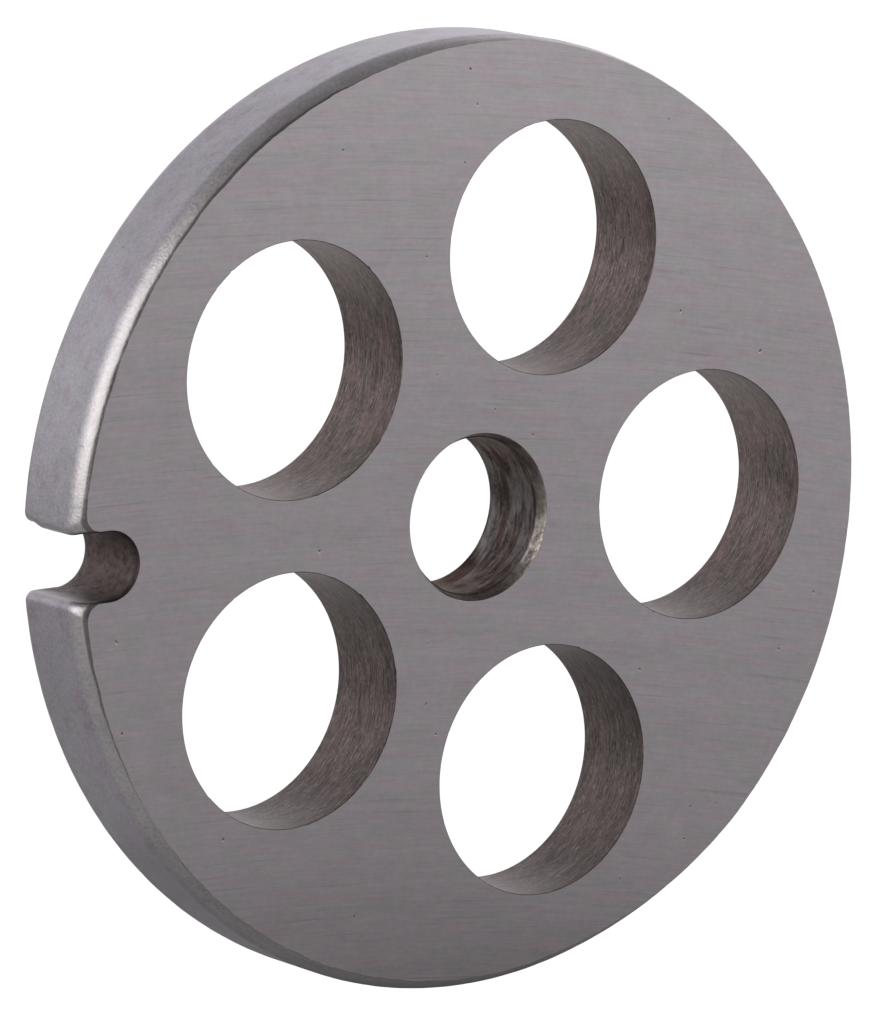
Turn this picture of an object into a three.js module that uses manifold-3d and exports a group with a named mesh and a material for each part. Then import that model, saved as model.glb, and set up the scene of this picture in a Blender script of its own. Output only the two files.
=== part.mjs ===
// The hole plate of a small meat grinder: one steel disc that stands upright in the mouth of
// the grinder. Meat leaves through its ring of large holes, its bore rides on the auger's stud, and the
// notch in its rim takes the key that stops it turning with the knife.
//
// Sizes are in millimetres. The disc's axis is Y: its ground face looks towards -Y and its rear face
// towards +Y. The origin is the centre of the bore at half the thickness, and the notch is near -X.

import * as THREE from 'three';
import { mergeVertices } from 'three/addons/utils/BufferGeometryUtils.js';
import Module from 'manifold-3d';

const OUTER_DIAMETER = 62;
const THICKNESS = 6.4;

const HOLE_COUNT = 5;
const HOLE_DIAMETER = 16.5;
const HOLE_CIRCLE_DIAMETER = 36;

// The bore opens out in a steep cone at the ground face and in a flatter one at the rear face.
const BORE_DIAMETER = 10.2;
const FRONT_CONE_DIAMETER = 10.9;
const REAR_CONE_DIAMETER = 11.4;
const CONE_DEPTH = 0.7;

const NOTCH_WIDTH = 4.4; // its bottom is a half circle of this width
const NOTCH_DEPTH = 4.75; // from the rim to the lowest point of the bottom
const NOTCH_MOUTH_ROUNDING = 0.6;
const NOTCH_TURN = THREE.MathUtils.degToRad(1.4); // off the middle between two holes, from -X towards -Z

// The ground face cuts off the rim's rounding, so the front bevel meets the face at a crisp edge.
const FRONT_BEVEL_HEIGHT = 1.15; // along the axis
const FRONT_BEVEL_WIDTH = 0.7; // along the radius
const REAR_ROUNDING = 0.75;

const RIM_SEGMENTS = 96;
const HOLE_SEGMENTS = 48;
const ARC_STEPS = 5;
const CUTTER_OVERRUN = 1; // how far a cutting shape passes the surface that it leaves through

const RADIUS = OUTER_DIAMETER / 2;
const FRONT = -THICKNESS / 2;
const REAR = THICKNESS / 2;

const wasm = await Module();
wasm.setup();

function solidFrom(geometry) {
  const bare = geometry.clone();
  bare.deleteAttribute('normal');
  bare.deleteAttribute('uv');
  const merged = mergeVertices(bare);
  return new wasm.Manifold(new wasm.Mesh({
    numProp: 3,
    vertProperties: Float32Array.from(merged.attributes.position.array),
    triVerts: Uint32Array.from(merged.index.array),
  }));
}

function geometryFrom(solid) {
  const mesh = solid.getMesh();
  const geometry = new THREE.BufferGeometry();
  geometry.setAttribute('position', new THREE.BufferAttribute(mesh.vertProperties, 3));
  geometry.setIndex(new THREE.BufferAttribute(mesh.triVerts, 1));
  geometry.computeVertexNormals();
  return geometry;
}

// Points of a round arc from one angle to another, both ends included.
function arc(centreRadius, centreY, radius, from, to) {
  const points = [];
  for (let step = 0; step <= ARC_STEPS; step += 1) {
    const angle = from + ((to - from) * step) / ARC_STEPS;
    points.push(new THREE.Vector2(
      centreRadius + radius * Math.cos(angle),
      centreY + radius * Math.sin(angle),
    ));
  }
  return points;
}

// The ring's section, with the bore and its two cones inside and both rim edges outside.
function ringSection() {
  // The bevel's arc is tangent to the rim, and it ends on the ground face.
  const bevelTurn = 2 * Math.atan2(FRONT_BEVEL_WIDTH, FRONT_BEVEL_HEIGHT);
  const bevelRadius = FRONT_BEVEL_HEIGHT / Math.sin(bevelTurn);
  const section = [
    new THREE.Vector2(REAR_CONE_DIAMETER / 2, REAR),
    new THREE.Vector2(BORE_DIAMETER / 2, REAR - CONE_DEPTH),
    new THREE.Vector2(BORE_DIAMETER / 2, FRONT + CONE_DEPTH),
    new THREE.Vector2(FRONT_CONE_DIAMETER / 2, FRONT),
    ...arc(RADIUS - bevelRadius, FRONT + FRONT_BEVEL_HEIGHT, bevelRadius, -bevelTurn, 0),
    ...arc(RADIUS - REAR_ROUNDING, REAR - REAR_ROUNDING, REAR_ROUNDING, 0, Math.PI / 2),
  ];
  section.push(section[0].clone());
  return section;
}

function ring() {
  return solidFrom(new THREE.LatheGeometry(ringSection(), RIM_SEGMENTS));
}

// Hole number `index`, counted from +X towards +Z.
function holeCutter(index) {
  const angle = (2 * Math.PI * index) / HOLE_COUNT;
  const reach = HOLE_CIRCLE_DIAMETER / 2;
  const radius = HOLE_DIAMETER / 2;
  const length = THICKNESS + 2 * CUTTER_OVERRUN;
  const cutter = new THREE.CylinderGeometry(radius, radius, length, HOLE_SEGMENTS);
  cutter.translate(reach * Math.cos(angle), 0, reach * Math.sin(angle));
  return solidFrom(cutter);
}

// The notch seen along the axis: a half-round bottom, two parallel flanks, and a mouth whose corners
// run smoothly from the flanks into the rim.
function notchOutline() {
  const half = NOTCH_WIDTH / 2;
  const bottomX = -(RADIUS - NOTCH_DEPTH + half);
  const cornerY = half + NOTCH_MOUTH_ROUNDING;
  const cornerX = -Math.sqrt((RADIUS - NOTCH_MOUTH_ROUNDING) ** 2 - cornerY ** 2);
  const rimAngle = Math.atan2(cornerY, cornerX);
  const outside = RADIUS + CUTTER_OVERRUN;
  const outline = new THREE.Shape();
  outline.absarc(bottomX, 0, half, -Math.PI / 2, Math.PI / 2, false);
  outline.absarc(cornerX, cornerY, NOTCH_MOUTH_ROUNDING, 1.5 * Math.PI, rimAngle, true);
  outline.lineTo(outside * Math.cos(rimAngle), outside * Math.sin(rimAngle));
  outline.lineTo(outside * Math.cos(rimAngle), -outside * Math.sin(rimAngle));
  outline.absarc(cornerX, -cornerY, NOTCH_MOUTH_ROUNDING, -rimAngle, Math.PI / 2, true);
  return outline;
}

function notchCutter() {
  const depth = THICKNESS + 2 * CUTTER_OVERRUN;
  const settings = { depth, bevelEnabled: false, curveSegments: ARC_STEPS };
  const cutter = new THREE.ExtrudeGeometry(notchOutline(), settings);
  cutter.translate(0, 0, -depth / 2);
  cutter.rotateX(Math.PI / 2);
  cutter.rotateY(-NOTCH_TURN);
  return solidFrom(cutter);
}

function plateGeometry() {
  let plate = ring();
  for (let index = 0; index < HOLE_COUNT; index += 1) {
    plate = plate.subtract(holeCutter(index));
  }
  return geometryFrom(plate.subtract(notchCutter()));
}

function steel() {
  return new THREE.MeshStandardMaterial({ color: 0x9a9694, metalness: 1, roughness: 0.38 });
}

const plate = new THREE.Mesh(plateGeometry(), steel());
plate.name = 'grinder_plate';

const grinderPlate = new THREE.Group();
grinderPlate.add(plate);

export default grinderPlate;
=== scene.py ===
"""The hole plate of a meat grinder, standing upright in a white surround and soft studio light.

Lengths are in millimetres until a mesh or a lamp is made. The plate lies in its CAD frame: its axis is Y,
its ground face looks towards -Y, and the notch in its rim is near -X.
"""

import math

import bmesh
import bpy
import numpy as np
from mathutils import Matrix, Vector, geometry, kdtree, noise


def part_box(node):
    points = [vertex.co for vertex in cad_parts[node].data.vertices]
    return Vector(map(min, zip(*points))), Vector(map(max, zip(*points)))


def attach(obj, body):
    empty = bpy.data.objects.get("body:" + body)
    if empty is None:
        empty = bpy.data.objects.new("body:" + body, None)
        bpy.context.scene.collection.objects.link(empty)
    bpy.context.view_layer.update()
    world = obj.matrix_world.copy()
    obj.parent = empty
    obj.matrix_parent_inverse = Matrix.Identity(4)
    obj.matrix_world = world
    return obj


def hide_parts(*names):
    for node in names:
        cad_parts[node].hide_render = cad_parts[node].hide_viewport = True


MM = 0.001
SEED = 8

# ---------------------------------------------------------------- the plate's sizes, in millimetres
HOLE_COUNT = 5
HOLE_RADIUS = 8.25
HOLE_CIRCLE_RADIUS = 18.0
BORE_RADIUS = 5.1
FRONT_CONE_RADIUS = 5.45
REAR_CONE_RADIUS = 5.7
CONE_DEPTH = 0.7
NOTCH_HALF_WIDTH = 2.2
NOTCH_DEPTH = 4.75
NOTCH_TURN = math.radians(1.4)  # from -X towards -Z
MOUTH_ROUNDING = 0.55
MOUTH_ROUNDING_AT_FACE = 1.1
BEVEL_HEIGHT = 1.15
BEVEL_WIDTH = 0.7
BEVEL_FLATNESS = 0.38  # 0 for a round bevel that leaves the rim tangentially, 1 for a straight chamfer
FAR_BEVEL_HEIGHT = 0.75  # on the side away from the notch the bevel is much smaller
FAR_BEVEL_WIDTH = 0.22
REAR_ROUNDING = 0.75
FLANK_BREAK = 0.07  # how far the notch's edges are worn back at the faces
EDGE_BREAK = 0.045  # rounding of an edge left as cut
CONE_EDGE_BREAK = 0.03
CONE_STEP = 0.06  # the front cone ends this much wider than the bore, at a small step

# The grinding wheel swept the faces in arcs about this far-off centre.
GRIND_CENTRE = (-25.0, -260.0)

# ---------------------------------------------------------------- mesh densities
RIM_POINTS = 720
MOUTH_POINTS = 16
FLANK_POINTS = 14
BOTTOM_POINTS = 44
HOLE_POINTS = 224
BORE_POINTS = 176
BEVEL_SHARES = np.linspace(1.0, 0.0, 12)
LATTICE_PITCH = 0.8
PIT_COUNT = 26
PIT_CORNERS = 9
PIT_RINGS = ((1.5, 0.0), (1.0, 0.0), (0.55, 0.8))  # shares of the pit's radius and of its depth
PIT_CLEARANCE = 2.2  # how far the lattice keeps from a pit's middle, in radii of the pit

MARKS = ("edge", "worn", "pit")  # values from 0 to 1 on each point, which the materials read


def smooth_step(value, low, high):
    """0 below low, 1 above high, and a smooth rise between them."""
    share = np.clip((np.asarray(value, float) - low) / (high - low), 0.0, 1.0)
    return share * share * (3.0 - 2.0 * share)


def away_from_faces(rows, front_margin, rear_margin):
    """0 on both faces and 1 between them, with a smooth rise over each margin."""
    y = rows[..., 1]
    return smooth_step(y, FRONT, FRONT + front_margin) * (1 - smooth_step(y, REAR - rear_margin, REAR))


def noise_at(points, wavelength, offset=0.0):
    """Smooth noise of about -1 to 1 at each point, with features about a wavelength apart."""
    flat = np.asarray(points, float).reshape(-1, 3) / wavelength + offset
    values = [noise.noise(Vector(point)) for point in flat]
    return np.array(values).reshape(np.asarray(points).shape[:-1])


def arc(centre, radius, start, stop, count):
    """Points of an arc from one angle up to, but not including, the other."""
    angles = np.linspace(start, stop, count, endpoint=False)
    return np.stack([centre[0] + radius * np.cos(angles), centre[1] + radius * np.sin(angles)], axis=1)


def line(start, stop, count):
    """Points of a straight line from its start up to, but not including, its end."""
    shares = np.linspace(0.0, 1.0, count, endpoint=False)[:, None]
    return np.array(start) * (1 - shares) + np.array(stop) * shares


class Surface:
    """The points and faces of one mesh, with marks on its points and a material and UVs on its faces."""

    def __init__(self):
        self.points = []
        self.marks = []
        self.faces = []
        self.uvs = []
        self.slots = []

    def add_points(self, points, marks):
        """Adds points with their marks, which are the values of MARKS, and returns their numbers."""
        first = len(self.points)
        self.points.extend(map(tuple, points))
        self.marks.extend(map(tuple, marks))
        return list(range(first, len(self.points)))

    def add_rings(self, rows, marks, slot):
        """Adds closed rings of points and the quads between them. Returns the first and last ring."""
        rings = [self.add_points(row, mark) for row, mark in zip(rows, marks)]
        count = rows.shape[1]
        middle = rows[len(rows) // 2]
        steps = np.linalg.norm(np.roll(middle, -1, axis=0) - middle, axis=1)
        along = np.concatenate([[0.0], np.cumsum(steps)])
        across = np.concatenate([[0.0], np.cumsum(np.linalg.norm(np.diff(rows[:, 0], axis=0), axis=1))])
        for i in range(len(rows) - 1):
            for j in range(count):
                following = (j + 1) % count
                front, rear = rings[i], rings[i + 1]
                self.faces.append((front[j], front[following], rear[following], rear[j]))
                self.uvs.append(
                    (
                        (along[j], across[i]),
                        (along[j + 1], across[i]),
                        (along[j + 1], across[i + 1]),
                        (along[j], across[i + 1]),
                    )
                )
                self.slots.append(slot)
        return rings[0], rings[-1]

    def add_flat(self, y, inward, rings, slot, pits):
        """Fills the flat face between its rings, with a lattice of points and small pits in it.

        The first ring is the outer one.
        """
        edges = []
        numbers = []
        outlines = []
        for ring in rings:
            first = len(numbers)
            numbers.extend(ring)
            edges.extend((first + k, first + (k + 1) % len(ring)) for k in range(len(ring)))
            outlines.append(np.array([(self.points[n][0], self.points[n][2]) for n in ring]))
        flat = [tuple(point) for points in outlines for point in points]
        inner = lattice_points(flat, pits)
        inner_depths = [0.0] * len(inner)
        for pit in pits:
            for x, z, depth in pit.points():
                inner.append((x, z))
                inner_depths.append(depth)
        rows = [(x, y + inward * depth, z) for (x, z), depth in zip(inner, inner_depths)]
        deepest = max(inner_depths)
        numbers.extend(self.add_points(rows, [(0.0, 0.0, depth / deepest) for depth in inner_depths]))
        corners = [Vector(p) for p in flat + inner]
        out, _, triangles, origin, _, _ = geometry.delaunay_2d_cdt(corners, edges, [], 1, 1e-6)
        zero = Vector((0.0, 0.0))
        middles = np.array([sum((out[k] for k in triangle), zero) / 3 for triangle in triangles])
        open_space = np.any([inside(middles, points) for points in outlines[1:]], axis=0)
        for triangle, is_open in zip(triangles, open_space):
            if is_open:
                continue
            face = tuple(numbers[origin[k][0]] for k in triangle)
            self.faces.append(face)
            self.uvs.append(tuple(grind_uv(self.points[n]) for n in face))
            self.slots.append(slot)

    def build(self, name, materials, flat_slots):
        """Makes the Blender object, in metres, with its flat faces kept sharp at their edges."""
        mesh = bpy.data.meshes.new(name)
        mesh.from_pydata([tuple(MM * c for c in p) for p in self.points], [], self.faces)
        for material in materials:
            mesh.materials.append(material)
        mesh.polygons.foreach_set("material_index", self.slots)
        mesh.polygons.foreach_set("use_smooth", [True] * len(self.faces))
        layer = mesh.uv_layers.new(name="grain")
        layer.uv.foreach_set("vector", np.array([MM * c for uvs in self.uvs for uv in uvs for c in uv]))
        for k, mark in enumerate(MARKS):
            attribute = mesh.attributes.new(mark, "FLOAT", "POINT")
            attribute.data.foreach_set("value", [m[k] for m in self.marks])
        work = bmesh.new()
        work.from_mesh(mesh)
        bmesh.ops.recalc_face_normals(work, faces=work.faces)
        for edge in work.edges:
            kinds = [face.material_index in flat_slots for face in edge.link_faces]
            edge.smooth = len(set(kinds)) == 1
        work.to_mesh(mesh)
        work.free()
        mesh.validate()
        piece = bpy.data.objects.new(name, mesh)
        bpy.context.scene.collection.objects.link(piece)
        return piece


def inside(points, polygon):
    """Which of the points lie inside the closed polygon, from the sides that lie ahead of each point."""
    x, z = points[:, 0:1], points[:, 1:2]
    ahead = np.roll(polygon, -1, axis=0)
    rise = ahead[:, 1] - polygon[:, 1]
    spans = (polygon[:, 1] > z) != (ahead[:, 1] > z)
    slope = (ahead[:, 0] - polygon[:, 0]) / np.where(rise == 0.0, 1.0, rise)
    crossed = spans & (x < polygon[:, 0] + slope * (z - polygon[:, 1]))
    return np.sum(crossed, axis=1) % 2 == 1


class Pit:
    """A small pit in a ground face: rings of points about a low middle one, stretched along one line."""

    def __init__(self, x, z, radius, stretch, turn, depth):
        self.x, self.z, self.radius = x, z, radius
        self.stretch, self.turn, self.depth = stretch, turn, depth

    def points(self):
        """(x, z, depth) of each of its points."""
        found = [(self.x, self.z, self.depth)]
        for share, depth_share in PIT_RINGS:
            for k in range(PIT_CORNERS):
                angle = 2 * math.pi * k / PIT_CORNERS
                along = share * self.radius * self.stretch * math.cos(angle)
                across = share * self.radius * math.sin(angle)
                x = self.x + along * math.cos(self.turn) - across * math.sin(self.turn)
                z = self.z + along * math.sin(self.turn) + across * math.cos(self.turn)
                found.append((x, z, depth_share * self.depth))
        return found


def grind_uv(point):
    """Along and across the grinding marks, from the wheel's sweep about its far-off centre."""
    x, z = point[0] - GRIND_CENTRE[0], point[2] - GRIND_CENTRE[1]
    reach = math.hypot(x, z)
    return math.atan2(x, z) * -GRIND_CENTRE[1], reach + GRIND_CENTRE[1]


def hole_centres():
    angles = [2 * math.pi * k / HOLE_COUNT for k in range(HOLE_COUNT)]
    return [(HOLE_CIRCLE_RADIUS * math.cos(a), HOLE_CIRCLE_RADIUS * math.sin(a)) for a in angles]


def on_face(x, z, margin):
    """True if the point is on a ground face, at least the margin from its edges."""
    reach = math.hypot(x, z)
    if reach > RADIUS - REAR_ROUNDING - margin or reach < REAR_CONE_RADIUS + margin:
        return False
    notch_z = x * math.tan(NOTCH_TURN)
    if x < -(RADIUS - NOTCH_DEPTH) + margin and abs(z - notch_z) < NOTCH_HALF_WIDTH + margin:
        return False
    return all(math.hypot(x - cx, z - cz) > HOLE_RADIUS + margin for cx, cz in hole_centres())


def lattice_points(edge_points, pits):
    """Points on a triangular lattice over a ground face, clear of its edges and its pits."""
    tree = kdtree.KDTree(len(edge_points) + len(pits))
    for k, (x, z) in enumerate(edge_points):
        tree.insert((x, z, 0.0), k)
    tree.balance()
    found = []
    rows = int(2 * RADIUS / (LATTICE_PITCH * math.sqrt(0.75))) + 1
    for row in range(rows):
        z = -RADIUS + row * LATTICE_PITCH * math.sqrt(0.75)
        for column in range(int(2 * RADIUS / LATTICE_PITCH) + 1):
            x = -RADIUS + (column + 0.5 * (row % 2)) * LATTICE_PITCH
            if not on_face(x, z, 0.0) or tree.find((x, z, 0.0))[2] < 0.5 * LATTICE_PITCH:
                continue
            if all(math.hypot(x - p.x, z - p.z) > PIT_CLEARANCE * p.radius * p.stretch for p in pits):
                found.append((x, z))
    return found


def scattered_pits(random):
    """Pits at random places of one ground face, in a list."""
    pits = []
    while len(pits) < PIT_COUNT:
        x, z = random.uniform(-RADIUS, RADIUS, 2)
        radius = random.uniform(0.05, 0.09)
        stretch = random.uniform(1.0, 2.4)
        turn = random.normal(math.pi / 2, 0.6)
        depth = random.uniform(0.03, 0.06)
        if on_face(x, z, 0.6) and all(math.hypot(x - p.x, z - p.z) > 2.0 for p in pits):
            pits.append(Pit(x, z, radius, stretch, turn, depth))
    return pits


# ---------------------------------------------------------------- rim, bevel and notch
def outline(radius, upper, lower, mouth, bottom):
    """The disc's outline: its round rim, and a notch whose flanks lie at z = upper and z = -lower.

    mouth is the rounding of the notch's corners, and bottom is the x of its lowest point.
    """
    corners = []
    for half in (upper, lower):
        height = half + mouth
        corners.append((-math.sqrt((radius - mouth) ** 2 - height**2), height))
    turns = [math.asin(height / (radius - mouth)) for _, height in corners]
    (upper_x, upper_z), (lower_x, lower_z) = corners
    middle = (bottom - (upper + lower) / 2, (upper - lower) / 2)
    round_bottom = (upper + lower) / 2
    half_turn = math.pi / 2
    return np.concatenate(
        [
            arc((0, 0), radius, -math.pi + turns[1], math.pi - turns[0], RIM_POINTS),
            arc((upper_x, upper_z), mouth, math.pi - turns[0], 3 * half_turn, MOUTH_POINTS),
            line((upper_x, upper), (middle[0], upper), FLANK_POINTS),
            arc(middle, round_bottom, half_turn, -half_turn, BOTTOM_POINTS),
            line((middle[0], -lower), (lower_x, -lower), FLANK_POINTS),
            arc((lower_x, -lower_z), mouth, half_turn, math.pi + turns[1], MOUTH_POINTS),
        ]
    )


def bevel_profile(width, height, shares):
    """(inset, y) along a bevel, from the ground face where a share is 1 to the rim where it is 0."""
    turn = 2 * math.atan2(width, height)
    radius = height / math.sin(turn)
    points = []
    for share in shares:
        above_face = height - radius * math.sin(turn * share)
        as_arc = radius * (1 - math.cos(turn * share))
        as_chamfer = width * (1 - above_face / height)
        points.append((as_arc + BEVEL_FLATNESS * (as_chamfer - as_arc), FRONT + above_face))
    return points


def rim_levels():
    """(y, inset of the rim, inset of the notch, mouth rounding) from the front face to the rear one."""
    levels = []
    for inset, y in bevel_profile(BEVEL_WIDTH, BEVEL_HEIGHT, BEVEL_SHARES):
        wear = FLANK_BREAK * max(0.0, 1 - (y - FRONT) / (3 * FLANK_BREAK)) ** 2
        mouth = MOUTH_ROUNDING + (MOUTH_ROUNDING_AT_FACE - MOUTH_ROUNDING) * inset / BEVEL_WIDTH
        levels.append((y, inset, wear, mouth))
    for y in np.linspace(FRONT + BEVEL_HEIGHT, REAR - REAR_ROUNDING, 23)[1:-1]:
        levels.append((y, 0.0, 0.0, MOUTH_ROUNDING))
    for angle in np.linspace(0.0, math.pi / 2, 8):
        inset = REAR_ROUNDING * (1 - math.cos(angle))
        y = REAR - REAR_ROUNDING * (1 - math.sin(angle))
        levels.append((y, inset, 0.35 * inset, MOUTH_ROUNDING + 0.5 * inset))
    return levels


def steepened(rows, normals, far):
    """The rim's rings, with the smaller bevel where far is 1."""
    wall_start = FRONT + BEVEL_HEIGHT
    wall_end = REAR - REAR_ROUNDING
    near = bevel_profile(BEVEL_WIDTH, BEVEL_HEIGHT, BEVEL_SHARES)
    steep = bevel_profile(FAR_BEVEL_WIDTH, FAR_BEVEL_HEIGHT, BEVEL_SHARES)
    outward = np.zeros((len(rows), 1))
    lift = np.zeros((len(rows), 1))
    for k, ((near_inset, near_y), (steep_inset, steep_y)) in enumerate(zip(near, steep)):
        outward[k] = near_inset - steep_inset
        lift[k] = steep_y - near_y
    for k in range(len(near), len(rows)):
        to_end = max(0.0, wall_end - rows[k, 0, 1])
        lift[k] = (FAR_BEVEL_HEIGHT - BEVEL_HEIGHT) * to_end / (wall_end - wall_start)
    rows = rows + normals * (outward * far)[..., None]
    rows[..., 1] += lift * far
    return rows


def rim_rings():
    """The rim's rings of points from front to rear, and each ring's inset as a share of the bevel's width."""
    bottom = -(RADIUS - NOTCH_DEPTH)
    rows = []
    bevel = []
    for y, inset, wear, mouth in rim_levels():
        depth = (y - FRONT) / (REAR - FRONT)
        # The upper flank stands proud in the middle, and it is torn away towards the rear.
        proud = 0.22 * float(smooth_step(depth, 0.0, 0.25)) * float(1 - smooth_step(depth, 0.66, 0.84))
        sagging = 0.05 * math.sin(math.pi * depth)
        upper = NOTCH_HALF_WIDTH + wear - proud
        lower = NOTCH_HALF_WIDTH + wear - sagging
        flat = outline(RADIUS - inset, upper, lower, mouth, bottom + wear)
        x = flat[:, 0] * math.cos(NOTCH_TURN) - flat[:, 1] * math.sin(NOTCH_TURN)
        z = flat[:, 0] * math.sin(NOTCH_TURN) + flat[:, 1] * math.cos(NOTCH_TURN)
        rows.append(np.stack([x, np.full(len(flat), y), z], axis=1))
        bevel.append(inset / BEVEL_WIDTH if y < 0 else 0.0)
    return np.array(rows), np.array(bevel)[:, None]


def outward_of(rows):
    """The direction out of the metal at each point of the rim's rings, level with the faces."""
    ahead = np.roll(rows, -1, axis=1) - np.roll(rows, 1, axis=1)
    normals = np.stack([ahead[..., 2], np.zeros(ahead.shape[:2]), -ahead[..., 0]], axis=-1)
    return normals / np.linalg.norm(normals, axis=-1, keepdims=True)


def notch_mark():
    """The mark of the raw notch on an outline's points: 0 on the rim, rising to 1 within the notch."""
    mark = np.zeros(RIM_POINTS + 2 * MOUTH_POINTS + 2 * FLANK_POINTS + BOTTOM_POINTS)
    start = RIM_POINTS + MOUTH_POINTS // 2
    count = MOUTH_POINTS // 2 + 2 * FLANK_POINTS + BOTTOM_POINTS + MOUTH_POINTS // 2
    shares = np.linspace(0.0, 1.0, count)
    mark[start : start + count] = smooth_step(np.minimum(shares, 1 - shares), 0.02, 0.2)
    return mark


def bevel_and_edge_shadow_mark(angles, bevel):
    """The bevel's mark, raised where painted shadow darkens the bevel beside the face: widest at the notch,
    and all of the bevel opposite it.
    """
    # How strongly the painted shadow lies along the bevel beside the face, at each angle round the rim.
    painted_edge_shadow = smooth_step(angles, 100, 122) * (1 - smooth_step(angles, 192, 215))
    beside_notch = 1 - smooth_step(np.abs(angles - 180), 6, 17)
    opposite = np.maximum(1 - smooth_step(angles, 52, 80), smooth_step(angles, 290, 318))
    return np.minimum(bevel * (0.82 + 0.21 * painted_edge_shadow + 0.20 * beside_notch + 0.4 * opposite), 1.0)


def add_rim(surface, slot):
    """Adds the rim with its bevel, its rear rounding and the notch. Returns its front and rear ring."""
    rows, bevel = rim_rings()
    normals = outward_of(rows)
    angles = np.degrees(np.arctan2(rows[0, :, 2], rows[0, :, 0])) % 360
    far = np.maximum(1 - smooth_step(angles, 78, 112), smooth_step(angles, 285, 318))
    rows = steepened(rows, normals, far)
    notch = notch_mark()
    dents = 0.012 * noise_at(rows, 1.1) + 0.006 * noise_at(rows, 0.45, 7.0)
    rough = notch * (0.035 * noise_at(rows, 0.8, 3.0) + 0.02 * noise_at(rows, 0.4, 5.0))
    rows = rows + normals * ((dents + rough) * away_from_faces(rows, 0.3, 0.3))[..., None]
    # The ground face meets an uneven bevel, so its edge wanders a little.
    ragged = 0.06 * noise_at(rows[:1], 1.6, 11.0) + 0.04 * noise_at(rows[:1], 0.45, 13.0)
    rim_only = (1 - smooth_step(notch, 0.0, 0.1)) * (1 - 0.6 * far)
    rows = rows + normals * (ragged * rim_only * bevel**2)[..., None]
    return surface.add_rings(rows, marked(rows, bevel_and_edge_shadow_mark(angles, bevel), notch), slot)


# ---------------------------------------------------------------- holes and bore
def wall_rows(centre, profile, count):
    """Rings about an axis along Y, one for each (y, radius) of the profile."""
    angles = np.linspace(0.0, 2 * math.pi, count, endpoint=False)
    rows = []
    for y, radius in profile:
        x = centre[0] + radius * np.cos(angles)
        z = centre[1] + radius * np.sin(angles)
        rows.append(np.stack([x, np.full(count, y), z], axis=1))
    return np.array(rows), angles


def displaced(rows, centre, amounts):
    """The rings with each point moved away from the axis through the centre by its amount."""
    out = rows - np.array([centre[0], 0.0, centre[1]])
    out[..., 1] = 0.0
    out /= np.linalg.norm(out, axis=-1, keepdims=True)
    return rows + out * amounts[..., None]


def marked(rows, edge, worn):
    """The marks of each point of the rings."""
    return np.stack([np.broadcast_to(mark, rows.shape[:2]) for mark in (edge, worn, 0.0)], axis=-1)


def broken_edge(y, radius, size, towards):
    """(y, radius) points that round an edge off, from the face into the wall."""
    points = []
    for angle in np.linspace(0.0, math.pi / 2, 4):
        points.append((y + towards * size * (1 - math.cos(angle)), radius + size * (1 - math.sin(angle))))
    return points


def add_hole(surface, centre, number, slot):
    """Adds one meat hole's wall. Returns its front and rear ring."""
    front = broken_edge(FRONT, HOLE_RADIUS, EDGE_BREAK, 1)
    rear = broken_edge(REAR, HOLE_RADIUS, 2 * EDGE_BREAK, -1)
    heights = np.linspace(FRONT + 3 * EDGE_BREAK, REAR - 4 * EDGE_BREAK, 22)
    profile = front + [(y, HOLE_RADIUS) for y in heights] + rear[::-1]
    rows, _ = wall_rows(centre, profile, HOLE_POINTS)
    # The drill left shallow rings, longer round the wall than along it.
    stretched = rows * np.array([0.2, 1.0, 0.2])
    free = away_from_faces(rows, 0.3, 0.3)
    amounts = free * (0.012 * noise_at(stretched, 1.2, number) + 0.008 * noise_at(rows, 2.5, number + 9.0))
    nicks = smooth_step(noise_at(rows, 0.5, number + 21.0), 0.35, 0.8)
    near_edge = 1 - smooth_step(rows[..., 1], FRONT, FRONT + 0.25)
    amounts = amounts + 0.05 * nicks * near_edge
    rows = displaced(rows, centre, amounts)
    front_half = 1 - smooth_step(rows[..., 1], FRONT, FRONT + 1.8)
    return surface.add_rings(rows, marked(rows, front_half, nicks * near_edge), slot)


def add_bore(surface, slot):
    """Adds the bore's wall with a cone at both ends. Returns its front and rear ring."""
    cone_end = FRONT + CONE_DEPTH
    narrowing = BORE_RADIUS + CONE_STEP - FRONT_CONE_RADIUS
    profile = broken_edge(FRONT, FRONT_CONE_RADIUS, CONE_EDGE_BREAK, 1)
    for share in np.linspace(0.1, 1.0, 8):
        profile.append((FRONT + CONE_DEPTH * share, FRONT_CONE_RADIUS + narrowing * share))
    profile.append((cone_end + 0.03, BORE_RADIUS + 0.5 * CONE_STEP))
    profile.append((cone_end + 0.05, BORE_RADIUS))
    for y in np.linspace(cone_end + 0.2, REAR - CONE_DEPTH - 0.1, 18):
        profile.append((y, BORE_RADIUS))
    widening = REAR_CONE_RADIUS - BORE_RADIUS
    for share in np.linspace(0.0, 1.0, 7):
        profile.append((REAR - CONE_DEPTH * (1 - share), BORE_RADIUS + widening * share))
    rows, angles = wall_rows((0.0, 0.0), profile, BORE_POINTS)
    cone = 1 - smooth_step(rows[..., 1], FRONT + 0.8 * CONE_DEPTH, FRONT + 1.1 * CONE_DEPTH)
    free = away_from_faces(rows, 0.15, 0.2)
    # Something struck the cone's edge at its lower right.
    turned = np.abs((angles + math.pi + math.radians(32)) % (2 * math.pi) - math.pi)
    struck = (1 - smooth_step(turned, math.radians(10), math.radians(34)))[None, :] * cone
    chips = smooth_step(noise_at(rows, 0.5, 31.0), -0.5, 0.4) * struck
    stretched = rows * np.array([0.2, 1.0, 0.2])
    amounts = free * (0.018 * noise_at(stretched, 1.0, 41.0) + 0.010 * noise_at(rows, 1.4, 43.0))
    rows = displaced(rows, (0.0, 0.0), amounts + 0.03 * chips)
    return surface.add_rings(rows, marked(rows, cone, chips), slot)


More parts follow.
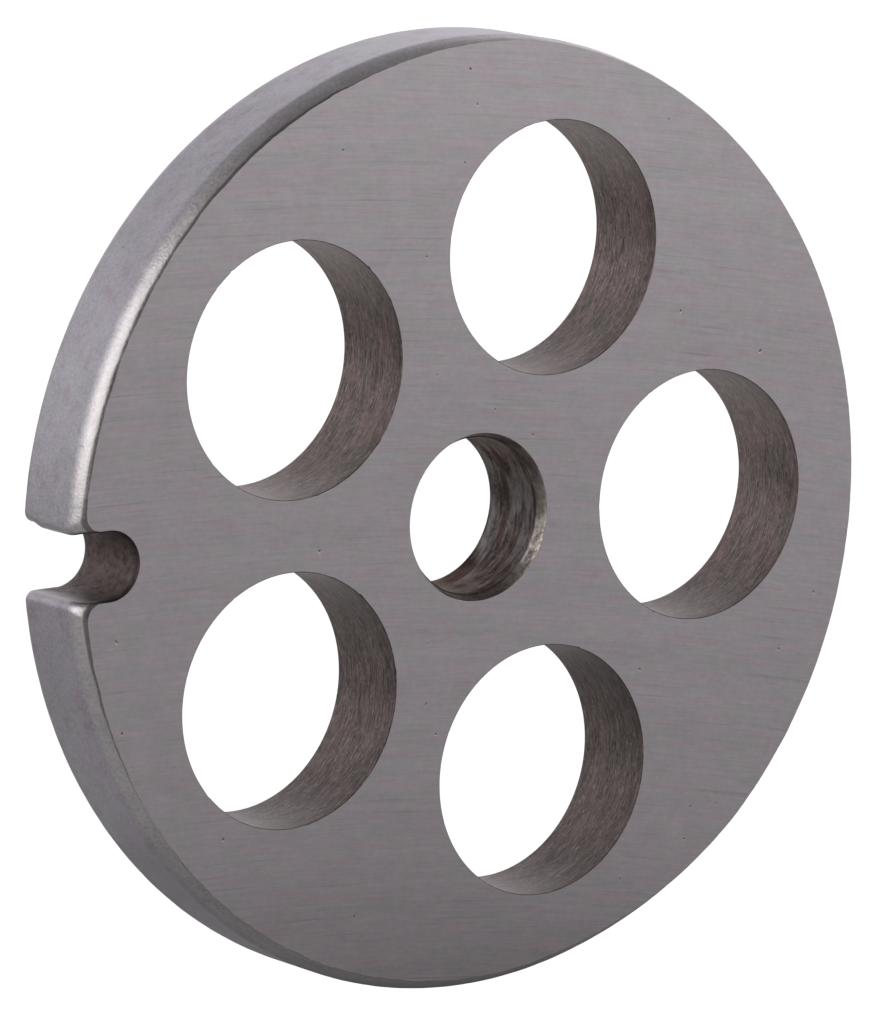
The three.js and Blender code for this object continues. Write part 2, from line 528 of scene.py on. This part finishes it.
# ---------------------------------------------------------------- materials
class Finish:
    """A steel material, with short ways to add the nodes that pattern it."""

    def __init__(self, name):
        self.material = bpy.data.materials.new(name)
        self.material.use_nodes = True
        self.tree = self.material.node_tree
        self.shader = self.tree.nodes["Principled BSDF"]
        self.shader.inputs["Metallic"].default_value = 1.0

    def node(self, kind, inputs, **settings):
        """A new node with its inputs linked to other nodes' outputs or set to plain values."""
        node = self.tree.nodes.new("ShaderNode" + kind)
        for name, value in settings.items():
            setattr(node, name, value)
        for key, value in inputs.items():
            if isinstance(value, bpy.types.NodeSocket):
                self.tree.links.new(value, node.inputs[key])
            else:
                node.inputs[key].default_value = value
        return node

    def millimetres(self, vector, stretch=(1.0, 1.0, 1.0)):
        """A position in metres as millimetres, with each axis scaled by its stretch."""
        scale = tuple(s / MM for s in stretch)
        return self.node("VectorMath", {0: vector, 1: scale}, operation="MULTIPLY").outputs["Vector"]

    def position(self, stretch=(1.0, 1.0, 1.0)):
        return self.millimetres(self.node("TexCoord", {}).outputs["Object"], stretch)

    def grain(self, stretch):
        """Along and across the tool marks, from the mesh's UVs."""
        return self.millimetres(self.node("UVMap", {}, uv_map="grain").outputs["UV"], (*stretch, 1.0))

    def mark(self, name):
        return self.node("Attribute", {}, attribute_name=name).outputs["Fac"]

    def noise(self, vector, scale=1.0, detail=2.0, roughness=0.5):
        inputs = {"Vector": vector, "Scale": scale, "Detail": detail, "Roughness": roughness}
        return self.node("TexNoise", inputs).outputs["Fac"]

    def math(self, operation, first, second=0.0):
        return self.node("Math", {0: first, 1: second}, operation=operation).outputs["Value"]

    def spread(self, value, low, high, to_low=0.0, to_high=1.0):
        """The value from low to high, mapped smoothly to another range."""
        inputs = {"Value": value, "From Min": low, "From Max": high, "To Min": to_low, "To Max": to_high}
        return self.node("MapRange", inputs, interpolation_type="SMOOTHSTEP").outputs["Result"]

    def total(self, *terms):
        """The sum of (value, weight) terms, each value taken about a middle of 0.5."""
        result = None
        for value, weight in terms:
            part = self.math("MULTIPLY", self.math("SUBTRACT", value, 0.5), weight)
            result = part if result is None else self.math("ADD", result, part)
        return result

    def mix(self, factor, first, second):
        inputs = {"Factor": factor, 6: first, 7: second}
        return self.node("Mix", inputs, data_type="RGBA").outputs[2]

    def brighter(self, colour, amount):
        """The colour times one plus the amount."""
        factor = self.math("ADD", amount, 1.0)
        return self.node("VectorMath", {0: colour, "Scale": factor}, operation="SCALE").outputs["Vector"]

    def finish(self, colour, roughness, height=None, depth=0.0):
        """Links the shader's colour and roughness, and a bump whose full height is depth millimetres."""
        self.tree.links.new(colour, self.shader.inputs["Base Color"])
        self.tree.links.new(roughness, self.shader.inputs["Roughness"])
        if height is not None:
            bump = self.node("Bump", {"Height": height, "Strength": 1.0, "Distance": depth * MM})
            self.tree.links.new(bump.outputs["Normal"], self.shader.inputs["Normal"])
        return self.material


def grey(red, green, blue):
    return (red, green, blue, 1.0)


def ground_steel():
    """Flat faces from the surface grinder: fine lines along the wheel's sweep, faint stains, dark pits."""
    steel = Finish("ground_steel")
    fine = steel.noise(steel.grain((0.5, 7.5)), detail=3.0, roughness=0.6)
    lines = steel.noise(steel.grain((0.07, 3.8)), detail=2.0)
    bands = steel.noise(steel.grain((0.03, 0.5)), detail=1.0)
    stains = steel.noise(steel.position(), scale=0.55, detail=3.0, roughness=0.6)
    mottle = steel.noise(steel.position(), scale=3.0, detail=2.0)
    tints = steel.noise(steel.grain((0.25, 1.1)), detail=3.0, roughness=0.6)
    scores = steel.spread(steel.noise(steel.grain((0.09, 5.0)), detail=1.0), 0.64, 0.74)
    base = steel.mix(steel.spread(tints, 0.38, 0.62), grey(0.420, 0.372, 0.394), grey(0.398, 0.383, 0.388))
    shade = steel.total((fine, 0.34), (lines, 0.17), (bands, 0.12), (stains, 0.12), (mottle, 0.16))
    scored = steel.math("SUBTRACT", shade, steel.math("MULTIPLY", scores, 0.12))
    colour = steel.mix(steel.mark("pit"), steel.brighter(base, scored), grey(0.05, 0.04, 0.04))
    roughness = steel.math("ADD", steel.total((fine, 0.18), (lines, 0.10)), 0.46)
    height = steel.total((fine, 0.6), (lines, 0.6))
    steel.shader.inputs["Anisotropic"].default_value = 0.55
    tangent = steel.node("Tangent", {}, direction_type="UV_MAP", uv_map="grain")
    steel.tree.links.new(tangent.outputs["Tangent"], steel.shader.inputs["Tangent"])
    return steel.finish(colour, roughness, height, 0.0035)


def tumbled_steel():
    """The rim: a tumbled skin with specks, polished on the bevel and raw in the notch, with painted shadow
    along the bevel beside the face and painted shade along the notch's front edge.
    """
    steel = Finish("tumbled_steel")
    clouds = steel.noise(steel.position(), scale=0.5, detail=3.0)
    tints = steel.noise(steel.position(), scale=0.33, detail=2.0)
    grit = steel.noise(steel.position(), scale=5.0, detail=3.0, roughness=0.6)
    specks = steel.noise(steel.position(), scale=2.6, detail=2.0, roughness=0.7)
    spots = steel.spread(specks, 0.66, 0.76)
    bevel = steel.mark("edge")
    notch = steel.mark("worn")
    base = steel.mix(steel.spread(tints, 0.35, 0.65), grey(0.36, 0.335, 0.37), grey(0.35, 0.345, 0.36))
    stains = steel.spread(steel.noise(steel.position(), scale=0.7, detail=4.0, roughness=0.65), 0.50, 0.68)
    base = steel.mix(steel.math("MULTIPLY", stains, 0.55), base, grey(0.30, 0.252, 0.262))
    polished_and_edge_shadowed = steel.mix(steel.spread(bevel, 0.03, 0.30), base, grey(0.405, 0.386, 0.388))
    # Painted shadow: the bevel turns dark where it meets the ground face.
    painted_edge_shadow = steel.math("ADD", bevel, steel.total((grit, 0.25), (clouds, 0.2)))
    polished_and_edge_shadowed = steel.mix(steel.spread(painted_edge_shadow, 0.74, 0.90, 0.0, 0.75), polished_and_edge_shadowed, grey(0.105, 0.088, 0.082))
    shaded = steel.brighter(polished_and_edge_shadowed, steel.total((clouds, 0.3), (grit, 0.7)))
    spotted = steel.mix(steel.math("MULTIPLY", spots, 0.5), shaded, grey(0.16, 0.15, 0.16))
    raw_cloud = steel.noise(steel.position(), scale=2.2, detail=4.0, roughness=0.7)
    raw_notch_and_shade = steel.mix(steel.spread(raw_cloud, 0.32, 0.62), grey(0.085, 0.065, 0.060), grey(0.150, 0.120, 0.113))
    # Painted shade: the raw notch darkens towards the front face.
    raw_notch_and_shade = steel.mix(steel.spread(bevel, 0.15, 0.80, 0.0, 0.7), raw_notch_and_shade, grey(0.040, 0.030, 0.028))
    colour = steel.mix(notch, spotted, raw_notch_and_shade)
    smooth = steel.spread(bevel, 0.03, 0.35, 0.44, 0.35)
    rough = steel.math("ADD", steel.math("MULTIPLY", notch, 0.2), smooth)
    roughness = steel.math("ADD", rough, steel.total((grit, 0.14)))
    height = steel.total((grit, 1.0), (specks, 0.8), (raw_cloud, 0.6))
    return steel.finish(colour, roughness, height, 0.015)


def drilled_steel():
    """The meat holes' walls: short rings and scratches round the wall, and painted shade that darkens them
    lower on the plate.
    """
    steel = Finish("drilled_steel")
    rings = steel.noise(steel.position((0.55, 6.5, 0.55)), detail=4.0, roughness=0.68)
    scores = steel.noise(steel.position((1.0, 15.0, 1.0)), detail=3.0, roughness=0.65)
    clouds = steel.noise(steel.position((0.5, 1.0, 0.5)), scale=1.1, detail=4.0, roughness=0.6)
    tints = steel.noise(steel.position((0.6, 1.0, 0.6)), scale=0.8, detail=1.0)
    specks = steel.noise(steel.position((1.0, 1.6, 1.0)), scale=3.6, detail=3.0, roughness=0.7)
    height_up = steel.node("SeparateXYZ", {0: steel.position()}).outputs["Z"]
    base = steel.mix(steel.spread(tints, 0.35, 0.65), grey(0.178, 0.137, 0.127), grey(0.160, 0.135, 0.122))
    # Painted shade: the walls darken towards the plate's lower side.
    base = steel.mix(steel.spread(height_up, -24.0, 6.0, 0.45, 0.0), base, grey(0.080, 0.066, 0.062))
    base = steel.mix(steel.math("MULTIPLY", steel.mark("edge"), 0.42), base, grey(0.085, 0.068, 0.062))
    streaked = steel.brighter(base, steel.total((rings, 1.5), (scores, 2.2), (clouds, 1.1), (specks, 1.3)))
    flecks = steel.noise(steel.position((0.7, 2.4, 0.7)), scale=2.2, detail=4.0, roughness=0.7)
    flecked = steel.math("MULTIPLY", steel.spread(flecks, 0.56, 0.66), 0.75)
    scratch = steel.math("MULTIPLY", steel.spread(scores, 0.55, 0.70), steel.spread(specks, 0.46, 0.60))
    colour = steel.mix(steel.math("MULTIPLY", scratch, 0.85), streaked, grey(0.36, 0.33, 0.31))
    colour = steel.mix(flecked, colour, grey(0.060, 0.048, 0.044))
    colour = steel.mix(steel.mark("worn"), colour, grey(0.08, 0.07, 0.065))
    roughness = steel.math("ADD", steel.total((rings, 0.25), (clouds, 0.15)), 0.5)
    height = steel.total((rings, 0.8), (scores, 0.6))
    return steel.finish(colour, roughness, height, 0.012)


def reamed_steel():
    """The bore: darker than the holes and blotched round the wall, with a paler cone, bright where struck."""
    steel = Finish("reamed_steel")
    rings = steel.noise(steel.position((0.28, 1.5, 0.28)), detail=4.0, roughness=0.65)
    lines = steel.noise(steel.position((0.5, 11.0, 0.5)), detail=3.0, roughness=0.6)
    blotches = steel.noise(steel.position((0.5, 1.0, 0.5)), scale=1.1, detail=4.0, roughness=0.7)
    crumbs = steel.noise(steel.position(), scale=5.0, detail=3.0, roughness=0.7)
    base = steel.mix(steel.spread(rings, 0.42, 0.57), grey(0.060, 0.044, 0.039), grey(0.142, 0.128, 0.124))
    streaked = steel.brighter(base, steel.total((blotches, 3.0), (lines, 1.2), (crumbs, 1.1)))
    cone = steel.mix(steel.spread(blotches, 0.40, 0.62), grey(0.26, 0.220, 0.200), grey(0.46, 0.42, 0.39))
    cone = steel.brighter(cone, steel.total((crumbs, 1.0)))
    colour = steel.mix(steel.math("MULTIPLY", steel.mark("edge"), 0.9), streaked, cone)
    worn = steel.math("MULTIPLY", steel.mark("worn"), steel.spread(crumbs, 0.42, 0.60))
    colour = steel.mix(worn, colour, grey(0.52, 0.48, 0.44))
    roughness = steel.math("ADD", steel.total((rings, 0.2), (lines, 0.1)), 0.42)
    height = steel.total((rings, 1.0), (lines, 0.5), (crumbs, 0.5))
    steel.shader.inputs["Specular Tint"].default_value = grey(0.52, 0.48, 0.46)
    return steel.finish(colour, roughness, height, 0.012)


# ---------------------------------------------------------------- the plate
def make_plate():
    """The whole plate as one closed mesh."""
    random = np.random.default_rng(SEED)
    ground, tumbled, drilled, reamed = range(4)
    surface = Surface()
    rings = [add_rim(surface, tumbled)]
    for number, centre in enumerate(hole_centres()):
        rings.append(add_hole(surface, centre, float(number), drilled))
    rings.append(add_bore(surface, reamed))
    surface.add_flat(FRONT, 1, [ring[0] for ring in rings], ground, scattered_pits(random))
    surface.add_flat(REAR, -1, [ring[1] for ring in rings], ground, scattered_pits(random))
    materials = [ground_steel(), tumbled_steel(), drilled_steel(), reamed_steel()]
    return surface.build("steel_plate", materials, {ground})


# ---------------------------------------------------------------- studio
CAMERA_AZIMUTH, CAMERA_ELEVATION, CAMERA_ROLL = map(math.radians, (-36.27, 9.62, 1.12))
CAMERA_DISTANCE = 490.6 * MM
CAMERA_LENS = 267.35
SENSOR_WIDTH = 36.0
CENTRE_RIGHT, CENTRE_UP = 0.87 * MM, 0.13 * MM  # where the bore's centre lies from the middle of the view

WORLD_COLOUR = (0.86, 0.84, 0.88, 1.0)
# Each patch scales the world's light by its last number, within the first angle of its direction, and
# leaves it alone beyond the second: azimuth, elevation, inner angle, outer angle, factor.
WORLD_PATCHES = [
    (-36, 8, 16, 34, 0.25),
    (0, 90, 16, 55, 0.42),
    (-20, 66, 8, 26, 0.5),
    (20, -5, 35, 85, 0.45),
    (148, 12, 8, 40, 1.55),
    (-144, 2, 12, 38, 1.2),
]
SURROUND_RADIUS = 2.0  # metres
SURROUND_GLOW = 1.05
TABLE_REFLECTANCE, TABLE_GLOW = 0.5, 0.1
# The pad is painted shadow: a darker disc under the plate, where its shadow falls on the table.
SHADOW_PAD_REFLECTANCE, SHADOW_PAD_GLOW = 0.34, 0.075
CARD_REFLECTANCE, CARD_GLOW = 0.8, 0.35
SHADOW_PAD_RADIUS = 30.0
CARD_RADIUS = 42.0
CARD_X, CARD_Y = 18.0, 74.0
SHEET_LIFT = 0.02  # how far the pad and the card lie above the table


def towards(azimuth, elevation):
    """The direction from the plate to something at this azimuth, 0 being its front, and elevation."""
    flat = math.cos(elevation)
    return Vector((math.sin(azimuth) * flat, -math.cos(azimuth) * flat, math.sin(elevation)))


def make_camera():
    back = towards(CAMERA_AZIMUTH, CAMERA_ELEVATION)
    level = Vector((math.cos(CAMERA_AZIMUTH), math.sin(CAMERA_AZIMUTH), 0.0))
    upright = back.cross(level)
    right = level * math.cos(CAMERA_ROLL) + upright * math.sin(CAMERA_ROLL)
    up = upright * math.cos(CAMERA_ROLL) - level * math.sin(CAMERA_ROLL)
    place = back * CAMERA_DISTANCE - right * CENTRE_RIGHT - up * CENTRE_UP
    camera = bpy.data.objects.new("camera", bpy.data.cameras.new("camera"))
    camera.data.lens = CAMERA_LENS
    camera.data.sensor_width = SENSOR_WIDTH
    camera.data.clip_start = 0.01
    camera.data.clip_end = 20.0
    camera.matrix_world = Matrix.Translation(place) @ Matrix((right, up, back)).transposed().to_4x4()
    bpy.context.scene.collection.objects.link(camera)
    bpy.context.scene.camera = camera


def softbox(name, azimuth, elevation, distance, size, radiance, colour=(1.0, 1.0, 1.0)):
    """A rectangular lamp facing the plate, given by where it hangs and how bright its surface is."""
    lamp = bpy.data.lights.new(name, "AREA")
    lamp.shape = "RECTANGLE"
    lamp.size, lamp.size_y = size
    lamp.energy = radiance * math.pi * size[0] * size[1]
    lamp.color = colour
    box = bpy.data.objects.new(name, lamp)
    direction = towards(math.radians(azimuth), math.radians(elevation))
    box.location = direction * distance
    box.rotation_mode = "QUATERNION"
    box.rotation_quaternion = direction.to_track_quat("Z", "Y")
    box.visible_camera = False
    bpy.context.scene.collection.objects.link(box)


def disc(name, radius, centre, count=96):
    """A flat round mesh that faces up."""
    x, y, z = centre
    angles = np.linspace(0, 2 * math.pi, count, endpoint=False)
    points = [(x + radius * math.cos(a), y + radius * math.sin(a), z) for a in angles]
    mesh = bpy.data.meshes.new(name)
    mesh.from_pydata(points, [], [tuple(range(count))])
    made = bpy.data.objects.new(name, mesh)
    bpy.context.scene.collection.objects.link(made)
    return made


def stage_material(name, base, glow):
    """A matt grey material that also glows evenly."""
    material = bpy.data.materials.new(name)
    material.use_nodes = True
    shader = material.node_tree.nodes["Principled BSDF"]
    shader.inputs["Base Color"].default_value = (base, base, base, 1.0)
    shader.inputs["Roughness"].default_value = 0.9
    shader.inputs["Specular IOR Level"].default_value = 0.0
    shader.inputs["Emission Color"].default_value = (1.0, 1.0, 1.0, 1.0)
    shader.inputs["Emission Strength"].default_value = glow
    return material


def make_surround():
    """A white floor and dome that only the camera sees."""
    white = stage_material("backdrop_white", 0.0, SURROUND_GLOW)
    floor = disc("backdrop_floor", SURROUND_RADIUS, (0.0, 0.0, -RADIUS * MM))
    mesh = bpy.data.meshes.new("backdrop_dome")
    work = bmesh.new()
    bmesh.ops.create_icosphere(work, subdivisions=4, radius=SURROUND_RADIUS)
    work.to_mesh(mesh)
    work.free()
    dome = bpy.data.objects.new("backdrop_dome", mesh)
    bpy.context.scene.collection.objects.link(dome)
    for piece in (floor, dome):
        piece.data.materials.append(white)
        piece.visible_diffuse = False
        piece.visible_glossy = False
        piece.visible_transmission = False
        piece.visible_shadow = False


def make_table():
    """A grey table, with a darker pad as painted shadow under the plate and a light card on it, that the
    camera doesn't see.
    """
    sheet_height = (SHEET_LIFT - RADIUS) * MM
    table = disc("table", SURROUND_RADIUS, (0.0, 0.0, -RADIUS * MM))
    table.data.materials.append(stage_material("table", TABLE_REFLECTANCE, TABLE_GLOW))
    # Painted shadow: the darker pad stands for the plate's shadow on the table.
    shadow_pad = disc("shadow_pad", SHADOW_PAD_RADIUS * MM, (0.0, 0.0, sheet_height))
    shadow_pad.data.materials.append(stage_material("shadow_pad", SHADOW_PAD_REFLECTANCE, SHADOW_PAD_GLOW))
    card = disc("card", CARD_RADIUS * MM, (CARD_X * MM, CARD_Y * MM, sheet_height))
    card.data.materials.append(stage_material("card", CARD_REFLECTANCE, CARD_GLOW))
    for piece in (table, shadow_pad, card):
        piece.visible_camera = False


def make_world():
    """A grey studio: brighter behind the plate, and darker overhead, in front and about the camera."""
    world = bpy.data.worlds.new("studio")
    world.use_nodes = True
    tree = world.node_tree
    direction = tree.nodes.new("ShaderNodeTexCoord").outputs["Generated"]
    level = None
    for azimuth, elevation, inner, outer, factor in WORLD_PATCHES:
        product = tree.nodes.new("ShaderNodeVectorMath")
        product.operation = "DOT_PRODUCT"
        product.inputs[1].default_value = towards(math.radians(azimuth), math.radians(elevation))
        tree.links.new(direction, product.inputs[0])
        blend = tree.nodes.new("ShaderNodeMapRange")
        blend.interpolation_type = "SMOOTHSTEP"
        blend.inputs["From Min"].default_value = math.cos(math.radians(outer))
        blend.inputs["From Max"].default_value = math.cos(math.radians(inner))
        blend.inputs["To Min"].default_value = 1.0
        blend.inputs["To Max"].default_value = factor
        tree.links.new(product.outputs["Value"], blend.inputs["Value"])
        if level is None:
            level = blend.outputs["Result"]
            continue
        both = tree.nodes.new("ShaderNodeMath")
        both.operation = "MULTIPLY"
        tree.links.new(level, both.inputs[0])
        tree.links.new(blend.outputs["Result"], both.inputs[1])
        level = both.outputs["Value"]
    background = tree.nodes["Background"]
    background.inputs["Color"].default_value = WORLD_COLOUR
    tree.links.new(level, background.inputs["Strength"])
    bpy.context.scene.world = world


def make_lights():
    warm_white = (1.0, 0.985, 0.97)
    softbox("left_softbox", azimuth=-77, elevation=23, distance=0.45, size=(0.40, 0.40), radiance=1.65,
            colour=warm_white)
    softbox("face_lamp", azimuth=35, elevation=14, distance=0.30, size=(0.23, 0.09), radiance=2.85)


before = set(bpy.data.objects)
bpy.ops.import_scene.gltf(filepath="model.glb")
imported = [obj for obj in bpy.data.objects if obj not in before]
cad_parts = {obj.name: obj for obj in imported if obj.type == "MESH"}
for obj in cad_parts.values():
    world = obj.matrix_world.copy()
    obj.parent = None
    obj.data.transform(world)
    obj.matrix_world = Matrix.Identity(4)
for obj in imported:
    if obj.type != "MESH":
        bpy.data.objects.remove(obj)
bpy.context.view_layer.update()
low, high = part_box("grinder_plate")
# The outer radius and both faces come from the CAD's own box.
RADIUS = high[2] / MM
FRONT, REAR = low[1] / MM, high[1] / MM

make_camera()
plate = make_plate()
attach(plate, "root")
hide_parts("grinder_plate")
make_surround()
make_table()
make_world()
make_lights()
bpy.context.scene.view_settings.view_transform = "Standard"
